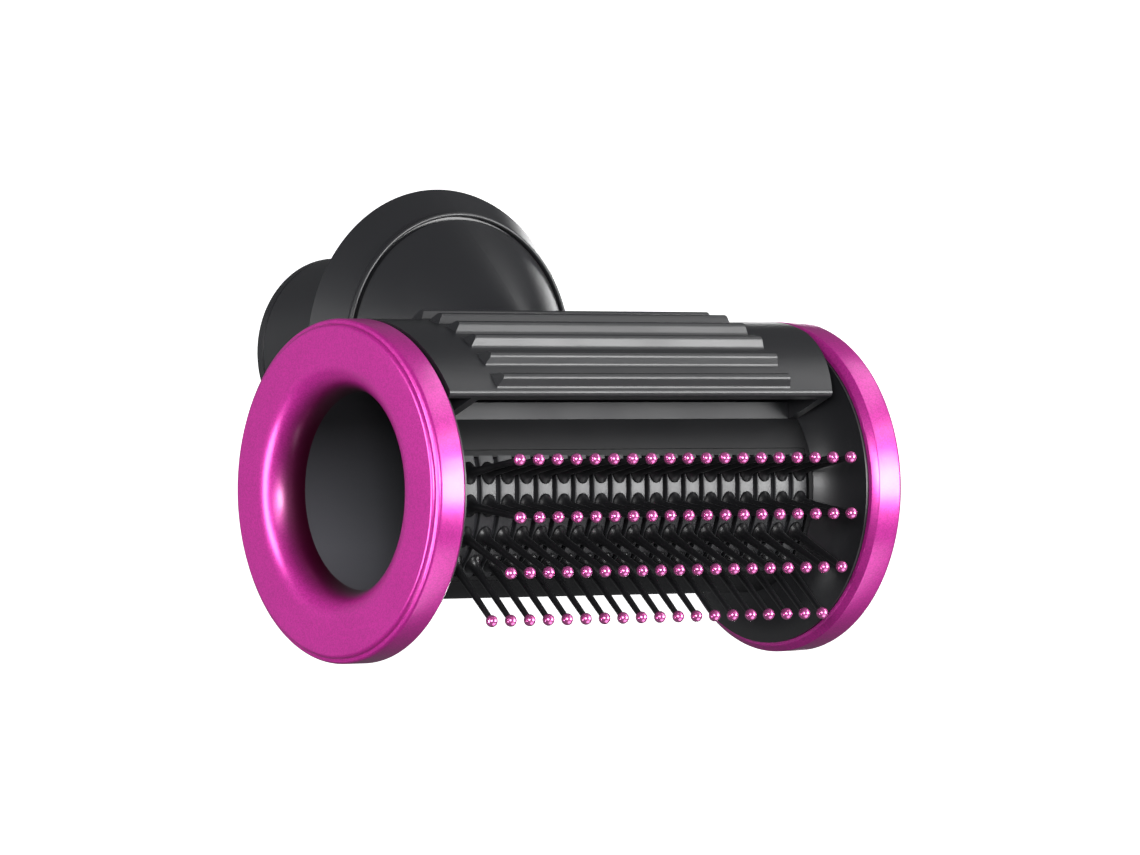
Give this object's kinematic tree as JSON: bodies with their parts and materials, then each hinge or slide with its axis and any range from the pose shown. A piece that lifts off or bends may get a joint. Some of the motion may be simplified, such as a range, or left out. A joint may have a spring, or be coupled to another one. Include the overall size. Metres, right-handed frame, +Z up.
{
  "type": "hot air brush",
  "caption": "Round hot air brush head for a hair dryer: open barrel with end rings, ribbed shell, air slot, ball-tipped pins and a swivelling neck with a magnetic collar and hub.",
  "frame": {"origin": "on the neck axis, in the plane of the collar's seat", "axes": "+X along the barrel, +Y along the neck and hub towards the dryer, +Z up, from the barrel to the neck axis"},
  "size_m": [0.105, 0.107, 0.0841],
  "materials": {
    "ring_fuchsia": "metallic fuchsia lacquer, fine flake",
    "shell_graphite": "satin graphite moulding",
    "bore_dark": "satin dark moulding",
    "bed_grey": "satin grey moulding",
    "pin_black": "semi-gloss black nylon",
    "ball_pearl": "pearl pink metallic lacquer",
    "blade_grey": "satin grey moulding",
    "shield_foil": "thin formed aluminium sheet",
    "inner_black": "matt black heat-resistant moulding",
    "washer_white": "low-friction washer",
    "spring_steel": "spring steel clip",
    "magnet_nickel": "nickel-plated magnet",
    "seat_dark": "satin dark cover",
    "gasket_rubber": "silicone rubber",
    "hub_graphite": "satin graphite moulding",
    "end_ring_gloss": "semi-gloss dark moulding"
  },
  "bodies": {
    "base": {"collar": "shell_graphite", "swivel_washer": "washer_white", "retaining_clip": "spring_steel", "magnet_carrier": "inner_black", "magnets": "magnet_nickel", "seat_plate": "seat_dark", "seat_gasket": "gasket_rubber", "hub_tube": "hub_graphite", "hub_end_ring": "end_ring_gloss", "hub_nose": "inner_black"},
    "head": {"left_end_ring": "ring_fuchsia", "left_end_flange": "shell_graphite", "right_end_ring": "ring_fuchsia", "right_end_flange": "shell_graphite", "bore_tube": "bore_dark", "barrel_skin": "shell_graphite", "brush_bed": "bed_grey", "pin_row_1": "pin_black", "ball_tips_1": "ball_pearl", "pin_row_2": "pin_black", "ball_tips_2": "ball_pearl", "pin_row_3": "pin_black", "ball_tips_3": "ball_pearl", "pin_row_4": "pin_black", "ball_tips_4": "ball_pearl", "outer_shell": "shell_graphite", "air_blade": "blade_grey", "heat_shield": "shield_foil", "air_vanes": "inner_black"}
  },
  "joints": [
    {"name": "head_swivel", "type": "hinge", "parent": "base", "child": "head", "pos_m": [0, 0, 0], "axis": [0, 1, 0], "continuous": true}
  ]
}
